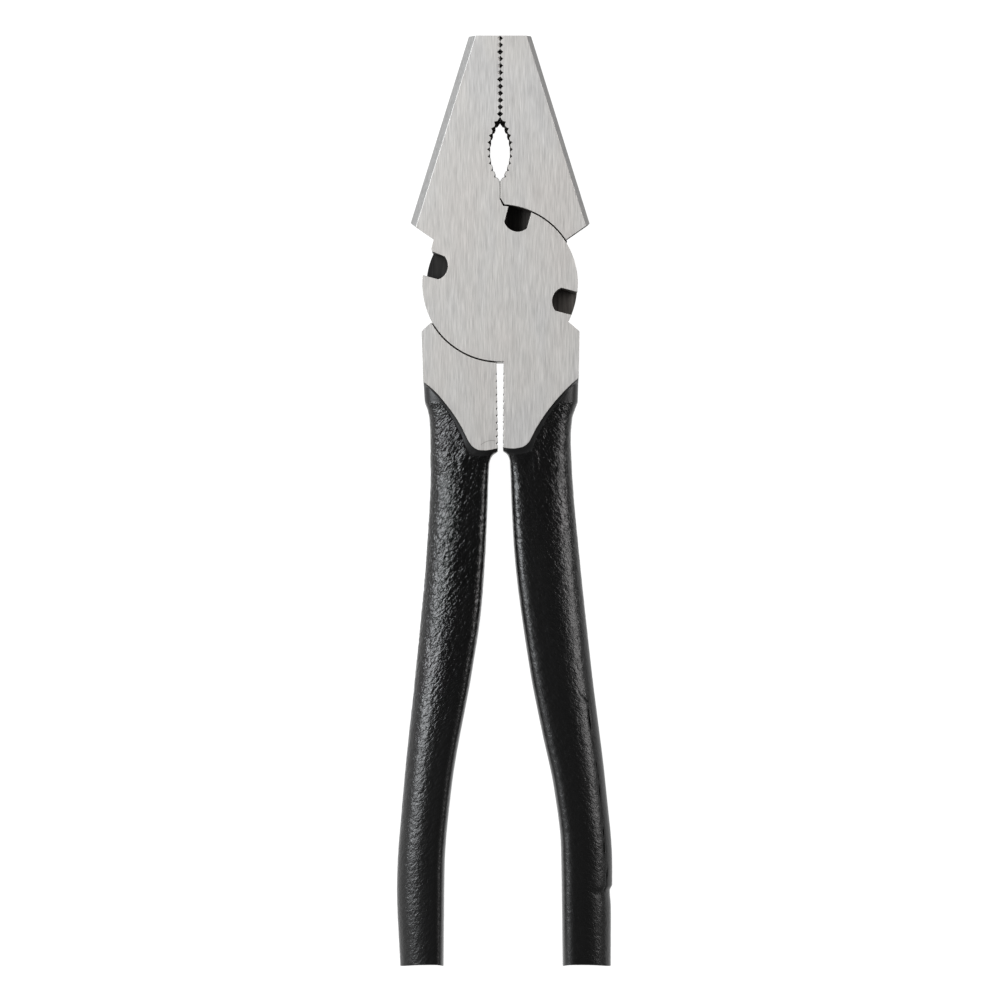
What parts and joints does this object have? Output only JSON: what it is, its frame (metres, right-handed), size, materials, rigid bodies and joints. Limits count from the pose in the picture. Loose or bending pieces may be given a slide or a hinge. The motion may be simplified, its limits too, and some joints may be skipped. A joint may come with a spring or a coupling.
{
  "type": "lineman pliers",
  "caption": "Flat-nosed fencing-type lineman pliers: toothed jaws with a pipe grip, round lap joint with shear notches, and two black-coated handles.",
  "frame": {"origin": "on the pivot axis, at the head's rear face, which the tool lies on", "axes": "+Y along the tool towards the nose, +X across it towards the right handle, +Z through the thickness, out of the front face"},
  "size_m": [0.0591, 0.254, 0.012],
  "materials": {
    "brushed_steel": "ground and brushed along the tool, blackened on the hidden joint faces",
    "rivet_steel": "ground flush and brushed with the joint faces",
    "black_vinyl": "glossy black coating with a fine orange-peel surface"
  },
  "bodies": {
    "front_half": {"front_jaw_half": "brushed_steel", "pivot_rivet": "rivet_steel", "right_grip": "black_vinyl"},
    "rear_half": {"rear_jaw_half": "brushed_steel", "left_grip": "black_vinyl"}
  },
  "joints": [
    {"name": "jaw_pivot", "type": "hinge", "parent": "front_half", "child": "rear_half", "pos_m": [0, 0, 0], "axis": [0, 0, -1], "range_deg": [0, 60]}
  ]
}
